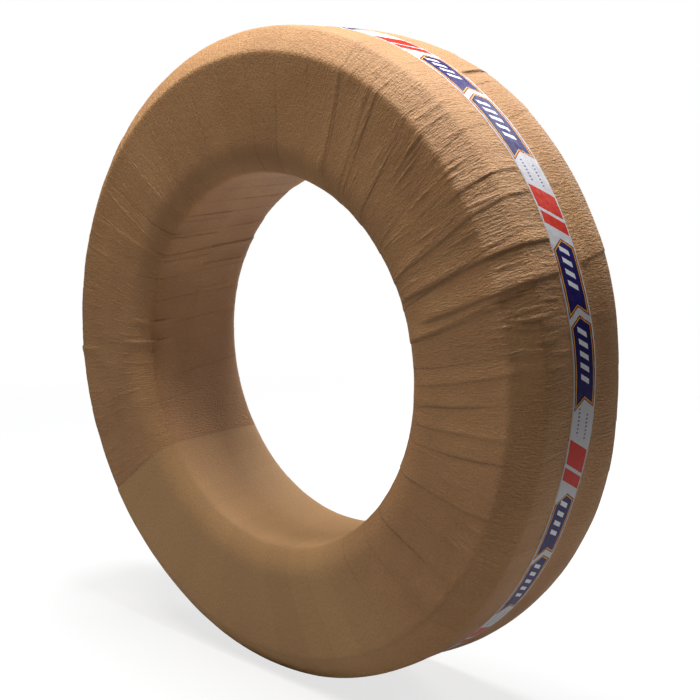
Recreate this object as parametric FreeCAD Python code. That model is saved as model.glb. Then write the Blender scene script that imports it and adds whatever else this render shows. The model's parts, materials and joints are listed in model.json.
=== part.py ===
"""Paper-wrapped coil of 16 x 2 mm multilayer pipe, standing upright on its rim.

About two hundred metres of pipe are wound into a thick ring. A strip of brown crepe paper is
wound helically round the section of that ring and hides every turn, and one band of printed
tape runs round the middle of the rim.

Frame: millimetres, +Z up, the coil's axis along Y, its front end towards -Y.
The origin is on the floor, under the middle of the coil.

Every section below is a half outline in (radius, across) where "across" is measured along the
axis from the middle of the coil. It is mirrored to the other half and turned about the axis.
"""
import FreeCAD, Part
import math
import os

# ---- driving dimensions, mm -----------------------------------------------------------------
OUTER_RADIUS = 390.0          # radius of the wrapped rim, without the tape
BORE_RADIUS = 224.0           # radius of the wrapped bore
COIL_WIDTH = 178.0            # from one flat end to the other
BORE_EDGE_RADIUS = 32.0       # the paper's soft round where the bore meets each end

# the outermost layers hold fewer turns, so the rim steps in towards each end in two bevels
OUTER_BEVEL_RISE = 14.5       # radial height of the bevel next to the flat end
OUTER_BEVEL_RUN = 10.5        # how far it reaches in from the flat end
INNER_BEVEL_RISE = 14.0       # radial height of the bevel next to the rim
INNER_BEVEL_RUN = 12.5        # how far it reaches in from the first bevel
CROWN_DROP = 1.5              # how far the rim falls away beside its level middle
CROWN_RUN = 18.0              # width of that fall on each side

WRAP_THICKNESS = 1.5          # two overlapping layers of crepe paper with their folds

TAPE_WIDTH = 40.0
TAPE_THICKNESS = 0.5

# ---- frame ----------------------------------------------------------------------------------
TAPE_RADIUS = OUTER_RADIUS + TAPE_THICKNESS
CENTRE = FreeCAD.Vector(0, 0, TAPE_RADIUS)      # the coil stands on its tape
AXIS = FreeCAD.Vector(0, 1, 0)


def at(radius, across):
    """A point of the section that lies straight above the axis."""
    return CENTRE + FreeCAD.Vector(0, across, radius)


def coil_section(inset):
    """Closed section of the coil, every side moved inwards by `inset`.

    The straight sides are offset along their own normals, and neighbours meet again where the
    two offset lines cross, so a smaller section fits inside a larger one with an even gap.
    """
    half_width = COIL_WIDTH / 2
    face_outer = OUTER_RADIUS - CROWN_DROP - INNER_BEVEL_RISE - OUTER_BEVEL_RISE
    bevel_across = half_width - OUTER_BEVEL_RUN
    rim_across = bevel_across - INNER_BEVEL_RUN
    corners = [
        (BORE_RADIUS + BORE_EDGE_RADIUS, half_width),
        (face_outer, half_width),
        (face_outer + OUTER_BEVEL_RISE, bevel_across),
        (OUTER_RADIUS - CROWN_DROP, rim_across),
        (OUTER_RADIUS, rim_across - CROWN_RUN),
        (OUTER_RADIUS, 0.0),
    ]
    lines = [offset_line(start, end, inset) for start, end in zip(corners, corners[1:])]
    half = [(corners[0][0], half_width - inset)]
    half += [crossing(a, b) for a, b in zip(lines, lines[1:])]

    edge_round = BORE_EDGE_RADIUS - inset
    bore = BORE_RADIUS + inset
    bore_across = half_width - BORE_EDGE_RADIUS
    arc_middle = edge_round * math.sqrt(0.5)

    def half_edges(side):
        points = [at(radius, side * across) for radius, across in half]
        round_start = at(bore, side * bore_across)
        round_middle = at(BORE_RADIUS + BORE_EDGE_RADIUS - arc_middle,
                          side * (bore_across + arc_middle))
        arc = Part.Arc(round_start, round_middle, points[0]).toShape()
        sides = [Part.makeLine(a, b) for a, b in zip(points, points[1:])]
        return [arc] + sides, round_start, points[-1]

    front, front_bore, front_rim = half_edges(-1)
    back, back_bore, back_rim = half_edges(+1)
    joining = [Part.makeLine(front_bore, back_bore), Part.makeLine(front_rim, back_rim)]
    return Part.Wire(Part.__sortEdges__(front + back + joining))


def offset_line(start, end, inset):
    """A line through start and end moved `inset` towards the middle of the section.

    Returned as (point, direction). The outline runs outwards from the bore, so its inner side
    is on the left of a line that comes down from the end, which is the side turned to.
    """
    run, rise = end[0] - start[0], end[1] - start[1]
    length = math.hypot(run, rise)
    normal = (rise / length, -run / length)
    return (start[0] + inset * normal[0], start[1] + inset * normal[1]), (run, rise)


def crossing(first, second):
    """Where two lines, each given as (point, direction), cross."""
    (px, py), (dx, dy) = first
    (qx, qy), (ex, ey) = second
    along = ((qx - px) * ey - (qy - py) * ex) / (dx * ey - dy * ex)
    return px + along * dx, py + along * dy


def turned(wire):
    """A solid ring: the section turned once round the coil's axis."""
    return Part.Face(wire).revolve(CENTRE, AXIS, 360)


def pipe_coil():
    """The wound pipe, as one plain ring of the coil's true outline: no turn of it shows."""
    return turned(coil_section(WRAP_THICKNESS))


def paper_wrap():
    """The crepe paper: a closed skin of even thickness all round the ring of pipe."""
    return turned(coil_section(0.0)).cut(turned(coil_section(WRAP_THICKNESS)))


def label_tape():
    """One band of tape, flat on the level middle of the rim."""
    corners = [
        at(OUTER_RADIUS, -TAPE_WIDTH / 2),
        at(TAPE_RADIUS, -TAPE_WIDTH / 2),
        at(TAPE_RADIUS, TAPE_WIDTH / 2),
        at(OUTER_RADIUS, TAPE_WIDTH / 2),
    ]
    return turned(Part.makePolygon(corners + corners[:1]))


def save(name, shape):
    """Write one node and print what it holds."""
    solids = shape.Solids
    assert shape.isValid() and len(solids) == 1, f"{name} is not one sound solid"
    solids[0].exportStep(f"parts/{name}.step")
    box = solids[0].BoundBox
    print(f"{name:12s} volume {solids[0].Volume / 1000:9.1f} cm3   "
          f"x {box.XMin:7.1f} {box.XMax:7.1f}  y {box.YMin:6.1f} {box.YMax:6.1f}  "
          f"z {box.ZMin:6.1f} {box.ZMax:6.1f}")


os.makedirs("parts", exist_ok=True)
save("pipe_coil", pipe_coil())
save("paper_wrap", paper_wrap())
save("label_tape", label_tape())
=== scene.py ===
# %% [markdown]
# # A coil of pipe wrapped in crepe paper
#
# The object is a thick ring of wound pipe. Nothing of the pipe shows, because a strip of brown
# crepe paper is wound round and round the ring's section, and one printed tape runs round the
# rim. This lesson builds the two things that do show: the paper with its overlaps, folds and
# crinkles, and the tape. Both are surfaces worked out with numpy on a grid that runs round the
# coil in one direction and round its section in the other.
#
# The CAD model gives the frame: where the coil stands, how wide its bore is, how long it is.

import json
import math

import bpy
import numpy as np
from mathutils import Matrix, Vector


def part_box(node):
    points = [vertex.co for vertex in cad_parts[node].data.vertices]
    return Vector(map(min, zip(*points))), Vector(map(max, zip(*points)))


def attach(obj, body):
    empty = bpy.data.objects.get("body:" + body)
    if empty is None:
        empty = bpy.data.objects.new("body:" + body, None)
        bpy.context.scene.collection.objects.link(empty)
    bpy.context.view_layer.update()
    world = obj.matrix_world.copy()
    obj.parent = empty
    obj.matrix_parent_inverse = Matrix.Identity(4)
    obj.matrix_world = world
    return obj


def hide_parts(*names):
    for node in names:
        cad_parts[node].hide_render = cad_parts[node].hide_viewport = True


MM = 0.001                                # one millimetre, in metres

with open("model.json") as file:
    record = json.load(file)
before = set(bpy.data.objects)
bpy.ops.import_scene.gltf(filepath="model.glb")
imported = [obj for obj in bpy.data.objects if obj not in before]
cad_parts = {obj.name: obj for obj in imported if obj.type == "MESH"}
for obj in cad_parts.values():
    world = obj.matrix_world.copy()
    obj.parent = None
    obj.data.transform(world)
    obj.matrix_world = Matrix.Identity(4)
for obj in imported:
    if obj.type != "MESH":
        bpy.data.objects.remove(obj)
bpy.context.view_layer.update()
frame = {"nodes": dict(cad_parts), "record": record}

mounts = {mount["name"]: mount for mount in frame["record"]["mounts"]}
wrap_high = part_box("paper_wrap")[1]                   # the highest corner of each node's box
tape_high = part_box("label_tape")[1]

CENTRE_Z = mounts["bore"]["pos_m"][2]                 # the axis lies this high above the floor
BORE_RADIUS = mounts["bore"]["dims"]["r_mm"] * MM
BORE_STRAIGHT = mounts["bore"]["dims"]["length_mm"] * MM
HALF_WIDTH = mounts["back_face"]["pos_m"][1]
RIM_RADIUS = round(wrap_high[2] - CENTRE_Z, 4)
TAPE_RADIUS = round(tape_high[2] - CENTRE_Z, 4)
HALF_TAPE = tape_high[1]
print(f"bore {BORE_RADIUS:.4f}  rim {RIM_RADIUS:.4f}  tape {TAPE_RADIUS:.4f}  "
      f"half width {HALF_WIDTH:.4f}  half tape {HALF_TAPE:.4f}")

# %% [markdown]
# ## The section of the coil
#
# Cut the coil across and the cut is a rounded block: a bore wall, an edge that rounds over
# more tightly towards the bore, where the paper is pulled hard, than towards the end, a flat
# end, two bevels where the outer layers hold fewer turns, and a rim that is level in the middle.
# Paper can't turn a sharp corner, so the outline is first drawn with its corners and then
# averaged along its own length, which rounds each corner a little and leaves the flats flat.

# %% The outline, walked from the middle of the bore round the front end
OUTER_BEVEL = (14.5 * MM, 10.5 * MM)      # rise outwards, run inwards along the axis
INNER_BEVEL = (14.0 * MM, 12.5 * MM)
CROWN = (1.5 * MM, 18.0 * MM)
WALL_SHARE = 0.52                         # of the bore edge, the part that is still bore wall
WALL_BOW = 0.15                           # how far that part bows outwards
SLOPE_START = (0.28, 0.725)               # where the slope begins, outwards and along the axis
SLOPE_END = 1.25                          # how far out the slope has become the flat end
SLOPE_POWER = 2.5                         # how late it flattens
CORNER_SOFTNESS = 1.7 * MM                # how far the paper bridges across a corner
ROWS = 184                                # steps round the section


def bore_edge():
    """Edge from bore to end, in shares of its size: (outwards, along the axis).

    The wall part bows by WALL_BOW times its own length squared. The slope falls short of the
    end by a power of the distance that is left to SLOPE_END.
    """
    wall = np.linspace(0, WALL_SHARE, 3)
    slope = np.linspace(SLOPE_START[0], SLOPE_END, 5)
    left = (SLOPE_END - slope) / (SLOPE_END - SLOPE_START[0])
    return np.vstack((np.column_stack((WALL_BOW * wall ** 2, wall)),
                      np.column_stack((slope, 1 - (1 - SLOPE_START[1]) * left ** SLOPE_POWER))))


def section_corners():
    """Half outline as (radius, across), from the bore's middle to the rim's, front half."""
    edge = HALF_WIDTH - BORE_STRAIGHT / 2
    round_edge = bore_edge() * (1, -1) * edge + (BORE_RADIUS, -BORE_STRAIGHT / 2)
    face_edge = RIM_RADIUS - CROWN[0] - INNER_BEVEL[0] - OUTER_BEVEL[0]
    steps_out = np.cumsum([face_edge, OUTER_BEVEL[0], INNER_BEVEL[0], CROWN[0]])
    steps_in = np.cumsum([-HALF_WIDTH, OUTER_BEVEL[1], INNER_BEVEL[1], CROWN[1]])
    return np.vstack(([(BORE_RADIUS, 0.0)], round_edge,
                      np.column_stack((steps_out, steps_in)), [(RIM_RADIUS, 0.0)]))


def smooth_loop(values, sigma):
    """Average a closed loop of values with a bell curve `sigma` samples wide."""
    waves = np.fft.rfftfreq(len(values))[:, None]
    bell = np.exp(-2 * (math.pi * sigma * waves) ** 2)
    return np.fft.irfft(np.fft.rfft(values, axis=0) * bell, n=len(values), axis=0)


def section_outline():
    """Closed outline at ROWS even steps: (radius, across), its outward normal, its length."""
    half = section_corners()
    loop = np.vstack((half, (half * (1, -1))[-2::-1]))
    travelled = np.r_[0, np.cumsum(np.hypot(*np.diff(loop, axis=0).T))]
    length = travelled[-1]
    fine = np.linspace(0, length, ROWS * 16, endpoint=False)
    dense = np.column_stack([np.interp(fine, travelled, loop[:, k]) for k in (0, 1)])
    dense = smooth_loop(dense, CORNER_SOFTNESS / (length / len(fine)))
    ahead = np.roll(dense, -1, axis=0) - np.roll(dense, 1, axis=0)
    normal = np.column_stack((-ahead[:, 1], ahead[:, 0]))
    normal /= np.linalg.norm(normal, axis=1, keepdims=True)
    inwards = normal[0, 0] > 0            # at the bore's middle, outwards is towards the axis
    return dense[::16], (-normal if inwards else normal)[::16], length


outline, outline_normal, SECTION_LENGTH = section_outline()
along = np.arange(ROWS) * SECTION_LENGTH / ROWS
print(f"section is {SECTION_LENGTH / MM:.0f} mm round, a row every "
      f"{SECTION_LENGTH / ROWS / MM:.1f} mm")

# %% [markdown]
# ## The relief of the paper
#
# The relief is one height field over the whole ring: so many columns round the coil, ROWS round
# the section. Everything the paper does is added to it as a whole array. Working on one field
# keeps every fold continuous where two rolls of paper meet.
#
# The first part is the overlap. The strip advances by one visible lap each 8.6 degrees, and its
# edge runs on round the section as a helix, so an edge is a slanted line. Each lap lies on the
# one below it: the height jumps up by the paper's thickness at an edge and falls away again
# over the width of the lap.

# %% Columns, laps and overlap steps
COLUMNS = 1944                            # steps round the coil
LAPS = 42                                 # visible paper edges round the coil
EDGE_DRIFT = 2                            # laps that an edge moves on in one trip round the section
LAP_START = -0.343                        # brings one edge to the long fold on the right
LAP_STEP = 0.45 * MM                      # height of an ordinary paper edge

turn = np.arange(COLUMNS) * 2 * math.pi / COLUMNS
TURN, ALONG = np.meshgrid(turn, along, indexing="ij")
random = np.random.default_rng(16)


def soft_noise(across_columns, along_rows):
    """White noise averaged over that many columns and rows, seamless both ways, spread 1."""
    white = random.standard_normal((COLUMNS, ROWS))
    f_across = np.fft.fftfreq(COLUMNS)[:, None] * across_columns
    f_along = np.fft.rfftfreq(ROWS)[None, :] * along_rows
    bell = np.exp(-2 * math.pi ** 2 * (f_across ** 2 + f_along ** 2))
    field = np.fft.irfft2(np.fft.rfft2(white) * bell, s=white.shape)
    return field / field.std()


def ease(level):
    """0 below 0, 1 above 1, and a smooth rise between."""
    level = np.clip(level, 0, 1)
    return level ** 2 * (3 - 2 * level)


def arc_window(start, stop, fade):
    """1 between two places round the coil, in degrees, easing to 0 over `fade` outside them."""
    middle, half = (start + stop) / 2, (stop - start) / 2
    away = np.abs((np.degrees(TURN) - middle + 180) % 360 - 180) - half
    return ease(1 - away / fade)


def along_window(start, stop, fade):
    """The same between two distances round the section, in millimetres."""
    middle, half = (start + stop) / 2 * MM, (stop - start) / 2 * MM
    gap = (ALONG - middle + SECTION_LENGTH / 2) % SECTION_LENGTH - SECTION_LENGTH / 2
    return ease(1 - (np.abs(gap) - half) / (fade * MM))


wander = 0.09 * soft_noise(22, 34) + 0.02 * soft_noise(4, 9)
lap = LAPS * TURN / (2 * math.pi) - EDGE_DRIFT * ALONG / SECTION_LENGTH + LAP_START + wander
lap_number = np.floor(lap).astype(int) % LAPS
lap_share = lap - np.floor(lap)           # 0 at a lap's own edge, 1 at the next lap's edge

edge_strength = (0.25 + 1.35 * random.random(LAPS) ** 1.8)[lap_number]
edge_strength = edge_strength * (0.35 + 0.65 * ease(0.5 + 0.6 * soft_noise(9, 9)))
edge_strength = edge_strength * (1 - 0.9 * arc_window(204, 216, 3))
lap_tone = (0.5 + 0.28 * random.standard_normal(LAPS))[lap_number]
print(f"{LAPS} laps, edges up to {LAP_STEP * edge_strength.max() / MM:.2f} mm high")

# %% [markdown]
# The bottom of the coil is wrapped with a fresh roll of smoother paper, which starts with one
# long straight edge on the lower left. Above it the paper is more crinkled, most of all on the
# upper right where the strip was pulled hard round the bevels.

# %% Where the paper is smooth and where it is crinkled
FRESH_FROM, FRESH_TO = 215.4, 318.0       # degrees round the coil, from the right, upwards

fresh_edge = FRESH_FROM + 0.8 * (ALONG / (180 * MM)) * (ALONG < 330 * MM)
past_edge = np.degrees(TURN) - fresh_edge
smooth = ease(past_edge / 0.4) * ease((FRESH_TO - np.degrees(TURN)) / 24)
crinkled = (0.22
            + 0.85 * arc_window(12, 58, 26) * along_window(205, 310, 60)
            + 0.50 * arc_window(14, 66, 26) * along_window(95, 205, 40)
            + 0.30 * arc_window(128, 190, 26) * along_window(110, 230, 60)
            + 0.30 * arc_window(-30, 12, 14) * along_window(190, 330, 50))
crinkled *= (1 - 0.8 * smooth) * (0.75 + 0.25 * soft_noise(30, 14))
print(f"crinkle share runs from {crinkled.min():.2f} to {crinkled.max():.2f}")

# %% [markdown]
# ## Crinkles and folds
#
# Crepe paper that goes round a bend buckles into short ridges that run along the strip. Each is
# a few millimetres wide and one or two centimetres long. They are made from soft noise that is
# stretched along the strip: where it passes a threshold a ridge stands up, and elsewhere the
# paper stays flat. The creping itself runs the other way, as fine ripples across the strip. A
# gentle wide swell under both keeps the flats from looking machined.
#
# A fold is a longer ridge with one steep side, where the strip was laid on with slack. The
# clearest ones are listed, each by where it crosses the flat end.

# %% The height field
CRINKLE_HEIGHT = 0.46 * MM
SWELL_HEIGHT = 0.22 * MM
CREPE_HEIGHT = 0.03 * MM
LOWEST = -0.45 * MM                       # the paper never dips further than this
FRESH_STEP = 0.9 * MM                     # height of the long edge where the smooth roll starts
SETTLE = 0.25 * MM                        # the whole relief is lowered by this, so it stays near size

ridges = soft_noise(0.95, 2.9) + 0.3 * soft_noise(1.9, 4.0)
crinkles = np.clip(ridges - 0.75, 0, 2.0) - 0.5 * np.clip(-ridges - 1.0, 0, 1.5)
swell = soft_noise(10, 9)
crepe = soft_noise(2.2, 0.8) + 0.8 * soft_noise(0.8, 1.6)

steps = LAP_STEP * edge_strength * (1 - lap_share) * (1 - 0.8 * smooth)
fresh_step = FRESH_STEP * ease(past_edge / 0.25) * ease(1 - past_edge / 16) * along_window(-60, 330, 20)

FOLDS = (                                 # turn at the flat end, slant in degrees per 100 mm,
    (24.9, 0.6, 100, 300, 2.0, 5.0),      # from and to along the section in mm,
    (18.9, 1.4, 130, 330, 1.9, 6.5),      # height in mm, width in mm
    (16.4, 2.6, 95, 190, 1.0, 3.5),
    (5.4, 3.0, 95, 215, 0.7, 3.5),
    (-5.4, 2.2, 100, 205, 0.6, 3.5),
    (31.5, 1.6, 90, 330, 1.0, 4.0),
    (36.0, 1.2, 215, 300, 1.2, 4.0),
    (68.6, 2.6, 110, 235, 0.8, 3.5),
    (61.5, 2.0, 60, 220, 0.6, 4.0),
    (144.4, 2.1, -60, 70, 0.9, 3.0),
    (137.0, 2.1, -70, 60, 0.6, 3.0),
    (154.0, 2.1, -40, 60, 0.6, 3.0),
    (181.0, 1.0, 62, 98, 2.6, 3.5),
    (174.5, 1.0, 60, 82, 2.0, 3.0),
    (183.5, 0.4, 195, 225, 2.0, 3.5),
    (58.6, 0.0, 342, 362, 3.2, 3.0),
)
folds = np.zeros_like(TURN)
# Painted shadow beside each fold's steep side, gathered here for the paper's colour.
painted_fold_shadow = np.zeros_like(TURN)
FOLD_MIDDLE = 180 * MM
for place, slant, start, stop, height, width in FOLDS:
    ridge_turn = np.radians(place + slant * (ALONG - FOLD_MIDDLE) / (100 * MM) + 1.5 * wander)
    away = (TURN - ridge_turn + math.pi) % (2 * math.pi) - math.pi
    away = away * outline[:, 0][None, :] / (width * MM)
    profile = np.exp(-0.5 * (away / np.where(away > 0, 1.6, 0.35)) ** 2)
    present = along_window(start, stop, 28)
    folds += 0.8 * height * MM * profile * present
    # Painted shadow: a narrow dark line on the fold's steep side.
    shade = min(height / 2, 1) * np.exp(-((away + 0.45) / 0.3) ** 2)
    painted_fold_shadow = np.maximum(painted_fold_shadow, present * shade)

under_tape = np.clip((HALF_TAPE + 3 * MM - np.abs(outline[:, 1])) / (3 * MM), 0, 1)
under_tape = np.where(outline[:, 0] > RIM_RADIUS - 5 * MM, under_tape, 0)[None, :]

relief = (steps + fresh_step + CRINKLE_HEIGHT * crinkles * crinkled
          + SWELL_HEIGHT * swell * (0.4 + crinkled) + CREPE_HEIGHT * crepe * (0.3 + crinkled) + folds)
relief = np.maximum(relief - SETTLE, LOWEST) * (1 - under_tape)
back_bulge = (4.5 * arc_window(24, 48, 28) + 6.0 * arc_window(-62, -22, 28)) * along_window(370, 415, 36)
relief = relief + back_bulge * MM         # the coil isn't quite round: its back rim swells
print(f"relief from {relief.min() / MM:.2f} to {relief.max() / MM:.2f} mm")

# %% [markdown]
# ## From height field to rolls of paper
#
# The ring is covered in four lengths, and each becomes one piece. A piece is a closed shell: its
# outside follows the height field column by column, then the surface turns under at the last
# column, comes back along the inside in a few long steps, and meets its own beginning. Seen as
# rings it is one closed chain, so a grid that wraps round both ways makes the whole mesh.

# %% Mesh helpers
def ring_points(turns, radius, across):
    """x = radius * cos(turn), y = across, z = axis height + radius * sin(turn)."""
    turns = np.broadcast_to(turns, radius.shape)
    return np.stack((radius * np.cos(turns), np.broadcast_to(across, radius.shape),
                     CENTRE_Z + radius * np.sin(turns)), axis=-1)


def wrapped_quads(rings, rows):
    """Quads of a grid that closes in both directions, as rows of four vertex numbers."""
    i, j = np.meshgrid(np.arange(rings), np.arange(rows), indexing="ij")
    i_next, j_next = (i + 1) % rings, (j + 1) % rows
    quads = np.stack((i * rows + j, i_next * rows + j, i_next * rows + j_next, i * rows + j_next), -1)
    return quads.reshape(-1, 4)


def uv_of_corners(uv, flipped):
    """Texture place of each quad corner, from a grid with one more row than the mesh has.

    The extra row lets the last band of quads end where the ruler ends, not jump back to zero.
    """
    onwards = np.roll(uv, -1, axis=0)
    corners = np.stack((uv[:, :-1], onwards[:, :-1], onwards[:, 1:], uv[:, 1:]), axis=2)
    corners = corners.reshape(-1, 4, 2)
    return corners[:, ::-1] if flipped else corners


def enclosed_volume(points, quads):
    """Signed volume: the sum over quads of corner 1 . (corner 2 x corner 3), two triangles each."""
    a, b, c, d = (points[quads[:, k]] for k in range(4))
    return (np.einsum("ij,ij->i", a, np.cross(b, c)) + np.einsum("ij,ij->i", a, np.cross(c, d))).sum() / 6


def closed_piece(name, grid, uv, shades):
    """A smooth closed mesh from a ring grid, with a UV map in metres and named vertex values."""
    rings, rows = grid.shape[:2]
    points = grid.reshape(-1, 3)
    quads = wrapped_quads(rings, rows)
    flipped = enclosed_volume(points, quads) < 0
    if flipped:
        quads = quads[:, ::-1]
    mesh = bpy.data.meshes.new(name)
    mesh.vertices.add(len(points))
    mesh.vertices.foreach_set("co", points.astype(np.float32).ravel())
    mesh.loops.add(quads.size)
    mesh.loops.foreach_set("vertex_index", quads.astype(np.int32).ravel())
    mesh.polygons.add(len(quads))
    mesh.polygons.foreach_set("loop_start", np.arange(0, quads.size, 4, dtype=np.int32))
    mesh.polygons.foreach_set("use_smooth", np.ones(len(quads), dtype=bool))
    layer = mesh.uv_layers.new(name="strip")
    layer.data.foreach_set("uv", uv_of_corners(uv, flipped).astype(np.float32).ravel())
    for label, values in shades.items():
        mesh.attributes.new(label, "FLOAT", "POINT").data.foreach_set(
            "value", values.astype(np.float32).ravel())
    mesh.update()
    mesh.validate()
    piece = bpy.data.objects.new(name, mesh)
    bpy.context.scene.collection.objects.link(piece)
    print(f"{name}: {2 * len(quads)} triangles, {abs(enclosed_volume(points, quads)) * 1e6:.0f} cm3")
    return piece


# %% [markdown]
# ## Four rolls of paper
#
# A real coil takes more than one roll of paper. One join is plain to see, the long edge on the
# lower left. Where the other three lie is a guess, and they also keep each mesh light. Both ends
# of a roll dip a little, so that neighbours meet without a ridge. A single mesh would also do,
# but it would be too heavy to handle. Beside its UV map, each piece carries three values at every
# vertex for its material: how much painted shadow lies along a paper edge or fold, how smooth the
# paper is, and the lap's tone.

# %% Rolls
ROLLS = (                                 # name, first and last degree round the coil
    ("crepe_roll_bottom", 214.5, 306.5),
    ("crepe_roll_right", 306.5, 396.5),
    ("crepe_roll_top", 396.5, 485.5),
    ("crepe_roll_left", 485.5, 574.5),
)
SHELL = 2.5 * MM                          # thickness of the shell, more than its relief
TUCK = np.array((1.2, 0.25, 0.04)) * MM   # how a roll's ends dip under their neighbours
INSIDE_STEP = 5.0                         # degrees between the rings of the inside

# Painted shadow for the paper's colour: a dark band just below each lap's edge, where the lap above throws
# its shadow, a dark line beside each fold's steep side and along the fresh roll's long edge, and none under
# the tape.
metres_below_edge = (1 - lap_share) * 2 * math.pi / LAPS * outline[:, 0][None, :]
painted_shadow_lines = np.exp(-(metres_below_edge / (1.5 * MM)) ** 2) * edge_strength * (1 - 0.7 * smooth)
painted_fresh_edge_shadow = np.exp(-((past_edge + 0.15) / 0.22) ** 2) * along_window(-60, 330, 20)
painted_shadow_lines = np.maximum(np.maximum(painted_shadow_lines, painted_fold_shadow), 0.6 * painted_fresh_edge_shadow) * (1 - under_tape)


def roll_piece(name, first, last):
    """One roll: outside rings from the height field, tucked ends, and coarse inside rings."""
    start, stop = (round(x / 360 * COLUMNS) for x in (first, last))
    columns = np.arange(start - len(TUCK), stop + 1 + len(TUCK))
    picked = columns % COLUMNS
    turns = columns[:, None] * 2 * math.pi / COLUMNS
    tuck = np.concatenate((TUCK, np.zeros(len(columns) - 2 * len(TUCK)), TUCK[::-1]))[:, None]
    lift = relief[picked] - tuck
    outside = ring_points(turns, outline[:, 0] + lift * outline_normal[:, 0],
                          outline[:, 1] + lift * outline_normal[:, 1])
    count = max(2, round((last - first) / INSIDE_STEP)) + 1
    inside_turns = np.linspace(turns[-1, 0], turns[0, 0], count)[:, None]
    flat = np.zeros((count, ROWS))
    inside = ring_points(inside_turns, flat + outline[:, 0] - SHELL * outline_normal[:, 0],
                         flat + outline[:, 1] - SHELL * outline_normal[:, 1])
    all_turns = np.vstack((turns, inside_turns))
    ruler = np.append(along, SECTION_LENGTH)[None, :]
    uv = np.stack(np.broadcast_arrays(all_turns * RIM_RADIUS, ruler), axis=-1)
    shades = {label: np.vstack((field[picked], flat)) for label, field in
              (("painted_shadow_lines", painted_shadow_lines), ("fresh", smooth), ("tone", lap_tone))}
    return closed_piece(name, np.vstack((outside, inside)), uv, shades)


rolls = [roll_piece(*roll) for roll in ROLLS]

# %% [markdown]
# ## The printed tape
#
# A thin glossy film, pulled tight round the rim over the paper. It is a band with a little
# thickness: across it the outside goes one way and the inside comes back. Its edges aren't
# ruled lines, and it ripples where the laps of paper pass beneath it. It was laid by hand, so it
# sways off the middle line in a few places, each a bell curve. Its two ends meet at the foot of
# the coil, where the coil stands on them.

# %% The tape's band
TAPE_ROWS = 20                            # points across the outside
TAPE_BULGE = 0.20 * MM
TAPE_SWAYS = ((-45, 5, 9), (-16, -6, 10), (21, -3, 7))     # middle in degrees, mm aside, degrees wide


def tape_piece():
    """Rows run across the outside and back along the inside; rings start at the coil's foot."""
    from_foot = turn - math.pi / 2
    edge_drift = smooth_loop(random.standard_normal((COLUMNS, 2)), 14)
    edge_drift *= 0.35 * MM / edge_drift.std()
    middle, aside, wide = np.array(TAPE_SWAYS).T
    away = (np.degrees(from_foot)[:, None] - middle + 180) % 360 - 180
    centre_drift = (aside * MM * np.exp(-0.5 * (away / wide) ** 2)).sum(axis=1, keepdims=True)
    share = np.linspace(-1, 1, TAPE_ROWS)[None, :]
    half = HALF_TAPE + edge_drift[:, :1]
    across = centre_drift + half * share
    ripple = smooth_loop(random.standard_normal((COLUMNS, TAPE_ROWS)), 2.2)
    ripple = ripple * 0.10 * MM / ripple.std()
    paper_edges = smooth_loop((steps - steps.mean())[:, ROWS // 2, None], 2.0)
    paper_edges = np.roll(paper_edges, COLUMNS // 4, axis=0)
    radius = TAPE_RADIUS + ripple + 0.35 * paper_edges + TAPE_BULGE * (1 - np.abs(share) ** 6) - TAPE_BULGE
    inner = np.full_like(radius, RIM_RADIUS - 0.3 * MM)
    grid = ring_points(from_foot[:, None], np.hstack((radius, inner[:, ::-1])),
                       np.hstack((across, across[:, ::-1])))
    tape_share = np.hstack((share, share[:, ::-1], share[:, :1]))
    uv = np.stack(np.broadcast_arrays(from_foot[:, None] * TAPE_RADIUS, tape_share * HALF_TAPE), axis=-1)
    return closed_piece("printed_tape", grid, uv, {})


tape = tape_piece()

# %% [markdown]
# ## Materials
#
# Each material is a small tree of nodes. These helpers make a node, set what is constant on its
# own sockets, and join the rest, so that each recipe below reads as a list of steps.

# %% Node helpers
def srgb(red, green, blue):
    """A screen colour, 0 to 255, as the linear colour that a shader takes."""
    share = np.array((red, green, blue)) / 255
    return (*np.where(share <= 0.04045, share / 12.92, ((share + 0.055) / 1.055) ** 2.4), 1.0)


def new_material(name):
    """An empty node tree with a shader and an output."""
    material = bpy.data.materials.new(name)
    material.use_nodes = True
    return material, material.node_tree, material.node_tree.nodes["Principled BSDF"]


def add(tree, kind, inputs=None, **settings):
    """Make one node; `inputs` maps socket names or numbers to values or to other sockets."""
    node = tree.nodes.new(kind)
    for key, value in settings.items():
        setattr(node, key, value)
    for key, value in (inputs or {}).items():
        if isinstance(value, bpy.types.NodeSocket):
            tree.links.new(value, node.inputs[key])
        else:
            node.inputs[key].default_value = value
    return node


def maths(tree, operation, first, second=0.0):
    """One arithmetic node's result."""
    return add(tree, "ShaderNodeMath", {0: first, 1: second}, operation=operation).outputs[0]


def blend_colour(tree, share, first, second, mode="MIX"):
    """One colour mixed over another."""
    mix = add(tree, "ShaderNodeMix", data_type="RGBA", blend_type=mode)
    for socket, value in (("Factor_Float", share), ("A_Color", first), ("B_Color", second)):
        target = next(s for s in mix.inputs if s.identifier == socket)
        if isinstance(value, bpy.types.NodeSocket):
            tree.links.new(value, target)
        else:
            target.default_value = value
    return next(s for s in mix.outputs if s.identifier == "Result_Color")


def ramp(tree, value, stops, interpolation="LINEAR"):
    """A colour ramp through (position, colour) stops."""
    node = add(tree, "ShaderNodeValToRGB", {"Fac": value})
    band = node.color_ramp
    band.interpolation = interpolation
    while len(band.elements) < len(stops):
        band.elements.new(0.5)
    for element, (position, colour) in zip(band.elements, stops):
        element.position = position
        element.color = colour
    return node.outputs["Color"]


# %% [markdown]
# ## Brown crepe paper
#
# Kraft paper is a warm mid brown that varies a little from place to place, with darker and
# lighter fibres in it. Crepe adds a fine crinkle across which light breaks up. The coarse
# crinkles are in the mesh; this recipe adds the ones that are finer than the mesh, stretched
# along the strip by the UV map, and darkens the line where one lap's edge throws its shadow.

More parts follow.
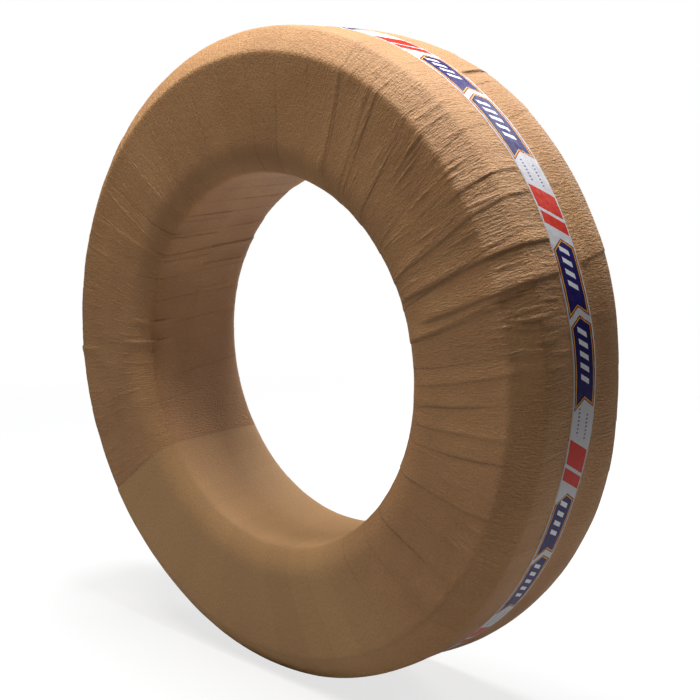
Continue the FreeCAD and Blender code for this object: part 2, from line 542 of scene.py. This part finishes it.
# %% Paper
def paper_material():
    """Kraft crepe: mottled brown, fibre specks, painted shadow along lap edges and folds, fine crinkled
    bump.
    """
    material, tree, shader = new_material("kraft_crepe")
    strip = add(tree, "ShaderNodeUVMap", uv_map="strip").outputs[0]
    place = add(tree, "ShaderNodeTexCoord").outputs["Object"]
    fresh = add(tree, "ShaderNodeAttribute", attribute_name="fresh").outputs["Fac"]
    tone = add(tree, "ShaderNodeAttribute", attribute_name="tone").outputs["Fac"]
    painted_shadow_amount = add(tree, "ShaderNodeAttribute", attribute_name="painted_shadow_lines").outputs["Fac"]

    mottle = add(tree, "ShaderNodeTexNoise", {"Vector": place, "Scale": 9.0, "Detail": 5.0,
                                              "Roughness": 0.6}).outputs["Fac"]
    colour = ramp(tree, mottle, ((0.32, srgb(177, 130, 86)), (0.68, srgb(194, 146, 99))))
    colour = blend_colour(tree, maths(tree, "MULTIPLY", fresh, 0.75), colour, srgb(198, 155, 106))
    lap_shade = ramp(tree, tone, ((0.0, (0.93, 0.93, 0.93, 1)), (1.0, (1.05, 1.05, 1.05, 1))))
    colour = blend_colour(tree, 1.0, colour, lap_shade, "MULTIPLY")
    grain_place = add(tree, "ShaderNodeMapping", {"Vector": strip, "Scale": (450.0, 260.0, 1.0)})
    grain = add(tree, "ShaderNodeTexNoise", {"Vector": grain_place.outputs[0], "Scale": 1.0,
                                             "Detail": 3.0, "Roughness": 0.65}).outputs["Fac"]
    grain_tone = ramp(tree, grain, ((0.30, (0.80, 0.79, 0.78, 1)), (0.70, (1.10, 1.10, 1.10, 1))))
    colour = blend_colour(tree, 0.8, colour, blend_colour(tree, 1.0, colour, grain_tone, "MULTIPLY"))
    # Painted shadow: darkens towards a dark brown along lap edges, beside folds and along the fresh roll's
    # edge.
    colour = blend_colour(tree, maths(tree, "MULTIPLY", painted_shadow_amount, 0.36), colour, srgb(84, 58, 42))
    tree.links.new(colour, shader.inputs["Base Color"])

    crepe_place = add(tree, "ShaderNodeMapping", {"Vector": strip, "Scale": (460.0, 125.0, 1.0)})
    crepe_lines = add(tree, "ShaderNodeTexNoise", {"Vector": crepe_place.outputs[0], "Scale": 1.0,
                                                   "Detail": 3.0, "Roughness": 0.6}).outputs["Fac"]
    cross_place = add(tree, "ShaderNodeMapping", {"Vector": strip, "Scale": (230.0, 540.0, 1.0)})
    cross_lines = add(tree, "ShaderNodeTexNoise", {"Vector": cross_place.outputs[0], "Scale": 1.0,
                                                   "Detail": 2.0, "Distortion": 0.6}).outputs["Fac"]
    lines = maths(tree, "ADD", crepe_lines, maths(tree, "MULTIPLY", cross_lines, 0.45))
    amount = maths(tree, "SUBTRACT", 1.0, maths(tree, "MULTIPLY", fresh, 0.55))
    bump = add(tree, "ShaderNodeBump", {"Height": maths(tree, "MULTIPLY", lines, amount),
                                        "Distance": 1.6 * MM, "Strength": 1.0})
    tree.links.new(bump.outputs[0], shader.inputs["Normal"])
    shader.inputs["Roughness"].default_value = 0.62
    shader.inputs["Specular IOR Level"].default_value = 0.36
    return material


kraft_crepe = paper_material()

# %% [markdown]
# ## The tape's print
#
# The print repeats like the pattern of a printing cylinder. Each bar is a field with pointed
# ends, and its keylines follow its edge all the way round. So the recipe first works out how
# far inside a bar's edge each spot lies, and then one ramp with hard steps turns that distance
# into pale edge, dark line, orange line, yellow line and blue field. The points come from
# adding a share of the distance from the middle line to the distance along the tape.

# %% Printed film
PRINT_REPEAT = 268 * MM
BLUE_BARS = ((6, 92), (100, 172))         # where the bars start and end in the repeat, in mm
RED_BLOCKS = ((182, 196), (200, 226))
STROKE_PITCH = 12 * MM
STROKE_ROWS = ((24, 82), (120, 166))      # each row holds whole strokes, one every pitch
STROKE_SHARE = 0.46                       # of a pitch that is white
STROKE_HALF = 7.4 * MM                    # a stroke reaches this far to each side of the middle
BAR_MARGIN = 2.2 * MM                     # bare film left along each edge of the tape
POINT_LEAN = 0.6                          # how sharply the blue bars come to a point
SLANT = 0.5                               # how much the red blocks and the strokes lean
TICK_FIELD = ((233, 262),)                # two rows of small ticks on bare film
TICK_PITCH, TICK_SHARE = 4.1 * MM, 0.45
TICK_ROW, TICK_HALF = 7.5 * MM, 1.6 * MM  # how far the rows lie off the middle, half a tick's width


def tape_material():
    """Pale film with pointed blue bars in warm keylines, red blocks and plain white strokes."""
    material, tree, shader = new_material("printed_film")
    uv = add(tree, "ShaderNodeUVMap", uv_map="strip").outputs[0]
    split = add(tree, "ShaderNodeSeparateXYZ", {"Vector": uv})
    down, across = split.outputs["X"], split.outputs["Y"]
    off_middle = maths(tree, "ABSOLUTE", across)
    from_side = maths(tree, "SUBTRACT", HALF_TAPE - BAR_MARGIN, off_middle)

    def inside(fields, lean):
        """Distance inside the nearest edge of any of these fields, in metres."""
        place = maths(tree, "MULTIPLY", maths(tree, "FRACT", maths(
            tree, "DIVIDE", maths(tree, "ADD", down, lean), PRINT_REPEAT)), PRINT_REPEAT)
        depth = -1.0
        for first, last in fields:
            ends = maths(tree, "MINIMUM", maths(tree, "SUBTRACT", place, first * MM),
                         maths(tree, "SUBTRACT", last * MM, place))
            depth = maths(tree, "MAXIMUM", depth, ends)
        return depth

    point = maths(tree, "MULTIPLY", off_middle, POINT_LEAN)
    slope = maths(tree, "MULTIPLY", across, SLANT)
    blue_ends = inside(BLUE_BARS, point)
    blue_depth = maths(tree, "MINIMUM", blue_ends, from_side)
    red_depth = maths(tree, "MINIMUM", inside(RED_BLOCKS, slope), from_side)

    film, navy, blue = srgb(206, 204, 207), srgb(24, 20, 40), srgb(37, 29, 98)
    orange, yellow = srgb(216, 96, 40), srgb(226, 186, 84)
    red, white = srgb(206, 50, 32), srgb(232, 232, 236)
    blue_field = ramp(tree, maths(tree, "DIVIDE", blue_depth, 10 * MM),
                      ((0.0, navy), (0.09, orange), (0.21, yellow), (0.30, navy), (0.39, blue)), "CONSTANT")
    colour = blend_colour(tree, maths(tree, "GREATER_THAN", blue_depth, 0.0), film, blue_field)
    colour = blend_colour(tree, maths(tree, "GREATER_THAN", red_depth, 0.0), colour, red)

    leaning = maths(tree, "ADD", down, slope)
    start = STROKE_ROWS[0][0] * MM
    stroke_place = maths(tree, "FRACT", maths(tree, "DIVIDE", maths(tree, "SUBTRACT", maths(
        tree, "MULTIPLY", maths(tree, "FRACT", maths(tree, "DIVIDE", leaning, PRINT_REPEAT)),
        PRINT_REPEAT), start), STROKE_PITCH))
    mark = maths(tree, "MULTIPLY", maths(tree, "LESS_THAN", stroke_place, STROKE_SHARE),
                 maths(tree, "LESS_THAN", off_middle, STROKE_HALF))
    mark = maths(tree, "MULTIPLY", mark, maths(tree, "GREATER_THAN", inside(STROKE_ROWS, slope), 0.0))
    colour = blend_colour(tree, mark, colour, white)
    tick_place = maths(tree, "FRACT", maths(tree, "DIVIDE", down, TICK_PITCH))
    tick = maths(tree, "MULTIPLY", maths(tree, "LESS_THAN", tick_place, TICK_SHARE),
                 maths(tree, "LESS_THAN", maths(tree, "ABSOLUTE", maths(
                     tree, "SUBTRACT", off_middle, TICK_ROW)), TICK_HALF))
    tick = maths(tree, "MULTIPLY", tick, maths(tree, "GREATER_THAN", inside(TICK_FIELD, slope), 0.0))
    colour = blend_colour(tree, tick, colour, srgb(92, 88, 140))
    tree.links.new(colour, shader.inputs["Base Color"])

    wrinkle_place = add(tree, "ShaderNodeMapping", {"Vector": uv, "Scale": (260.0, 60.0, 1.0)})
    wrinkle = add(tree, "ShaderNodeTexNoise", {"Vector": wrinkle_place.outputs[0], "Scale": 1.0,
                                               "Detail": 3.0}).outputs["Fac"]
    bump = add(tree, "ShaderNodeBump", {"Height": wrinkle, "Distance": 0.4 * MM, "Strength": 0.35})
    tree.links.new(bump.outputs[0], shader.inputs["Normal"])
    shader.inputs["Roughness"].default_value = 0.42
    shader.inputs["Specular IOR Level"].default_value = 0.12
    return material


printed_film = tape_material()

# %% [markdown]
# ## Pipe inside the wrap
#
# The wound pipe is white polyethylene outside. It is hidden, so its CAD ring keeps its mesh and
# only gets a finish: a plain plastic with a very faint cloudiness, enough for anyone who takes
# the wrap away.

# %% Pipe
def pipe_material():
    """White polyethylene with the faintest unevenness, for the hidden ring of pipe."""
    material, tree, shader = new_material("white_polyethylene")
    place = add(tree, "ShaderNodeTexCoord").outputs["Object"]
    cloud = add(tree, "ShaderNodeTexNoise", {"Vector": place, "Scale": 30.0}).outputs["Fac"]
    tree.links.new(ramp(tree, cloud, ((0.3, srgb(226, 226, 222)), (0.7, srgb(238, 238, 235)))),
                   shader.inputs["Base Color"])
    shader.inputs["Roughness"].default_value = 0.4
    return material


pipe = frame["nodes"]["pipe_coil"]
pipe.data.materials.clear()
pipe.data.materials.append(pipe_material())

# %% [markdown]
# ## Hand the pieces to the frame
#
# Nothing on a coil moves by itself, so every piece rides on the one body. The rolls stand for
# the CAD wrap and the band stands for the CAD tape, which stay behind, hidden.

# %% Bodies, replaced nodes and material slots
for roll in rolls:
    roll.data.materials.append(kraft_crepe)
    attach(roll, "root")
    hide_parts("paper_wrap")
tape.data.materials.append(printed_film)
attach(tape, "root")
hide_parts("label_tape")

# %% [markdown]
# ## Floor, light and camera
#
# A plain pale floor shows how the coil stands. It looks white to the camera alone, with a soft
# shadow near the coil, and acts as a mid grey for the light that it sends back, so that a bright
# floor doesn't wash out the paper's brown.

# %% Floor
def floor_material():
    """White to the camera with a soft shadow near the coil, mid grey for bounced light."""
    material, tree, shader = new_material("pale_floor")
    shader.inputs["Roughness"].default_value = 0.9
    shader.inputs["Specular IOR Level"].default_value = 0.0
    seen = add(tree, "ShaderNodeLightPath").outputs["Is Camera Ray"]
    tone = blend_colour(tree, seen, (0.46, 0.45, 0.44, 1), (0.92, 0.92, 0.92, 1))
    tree.links.new(tone, shader.inputs["Base Color"])
    place = add(tree, "ShaderNodeTexCoord").outputs["Object"]
    distance = add(tree, "ShaderNodeVectorMath", {0: place}, operation="LENGTH").outputs["Value"]
    share = add(tree, "ShaderNodeMapRange", {"Value": distance, "From Min": 0.8, "From Max": 1.9,
                                             "To Min": 0.74, "To Max": 1.0}).outputs["Result"]
    glow = add(tree, "ShaderNodeEmission", {"Color": (1, 1, 1, 1), "Strength": 1.0})
    mixed = add(tree, "ShaderNodeMixShader", {0: maths(tree, "MULTIPLY", seen, share),
                                              1: shader.outputs[0], 2: glow.outputs[0]})
    tree.links.new(mixed.outputs[0], tree.nodes["Material Output"].inputs["Surface"])
    return material


bpy.ops.mesh.primitive_plane_add(size=14)
floor = bpy.context.object
floor.name = "floor"
floor.data.materials.append(floor_material())

# %% [markdown]
# ## World and lamps
#
# The light comes mostly from above, so the top of the rim is bright and the flat end is lit only
# by what spills over. Four square lamps do it: two above, one low behind, and a weak one that
# opens up the bore. The world is white to the camera and almost black as a light.

# %% Lamps
world = bpy.data.worlds.new("studio")
world.use_nodes = True
bpy.context.scene.world = world
tree = world.node_tree
background = tree.nodes["Background"]
path = add(tree, "ShaderNodeLightPath")
room_light, white_sky = (0.024, 0.022, 0.02, 1), (1, 1, 1, 1)
tree.links.new(blend_colour(tree, path.outputs["Is Camera Ray"], room_light, white_sky),
               background.inputs["Color"])


def lamp(name, place, aim, size, power, colour):
    """A square area lamp at `place` that looks at `aim`."""
    data = bpy.data.lights.new(name, "AREA")
    data.shape, data.size, data.energy, data.color = "SQUARE", size, power, colour
    lamp_object = bpy.data.objects.new(name, data)
    lamp_object.location = place
    lamp_object.rotation_euler = (Vector(aim) - Vector(place)).to_track_quat("-Z", "Y").to_euler()
    bpy.context.scene.collection.objects.link(lamp_object)


AXIS_POINT = (0, 0, 0.39)                 # the middle of the bore
lamp("key_above", (0.0, 0.10, 2.30), AXIS_POINT, 0.7, 55, (0.97, 1.0, 1.03))
lamp("key_front", (-0.35, -0.60, 2.30), AXIS_POINT, 0.7, 23, (1.0, 0.98, 0.95))
lamp("back_low", (0.0, 2.37, 1.87), AXIS_POINT, 1.2, 30, (1.0, 1.0, 1.0))
lamp("bore_fill", (-0.30, 1.70, 0.25), (0, 0, 0.60), 0.8, 9, (0.90, 1.0, 1.06))

# %% [markdown]
# ## Camera
#
# It stands to the right of the coil's front end at about the height of a bench, and looks down a
# little, so that the flat end, the bore and the tape on the rim are all seen at once. The small
# shift frames the coil without turning the camera.

# %% Place and lens
CAMERA_TURN = math.radians(45.54)         # round the coil from its front end
CAMERA_DROP = math.radians(12.64)         # looking down by this much
camera_data = bpy.data.cameras.new("camera")
camera_data.lens = 63.7
camera_data.shift_x, camera_data.shift_y = 0.087, 0.080
camera = bpy.data.objects.new("camera", camera_data)
camera.location = (1.0586, -1.0782, 0.6655)
camera.rotation_euler = (math.pi / 2 - CAMERA_DROP, 0, CAMERA_TURN)
bpy.context.scene.collection.objects.link(camera)
bpy.context.scene.camera = camera
bpy.context.scene.view_settings.view_transform = "Standard"
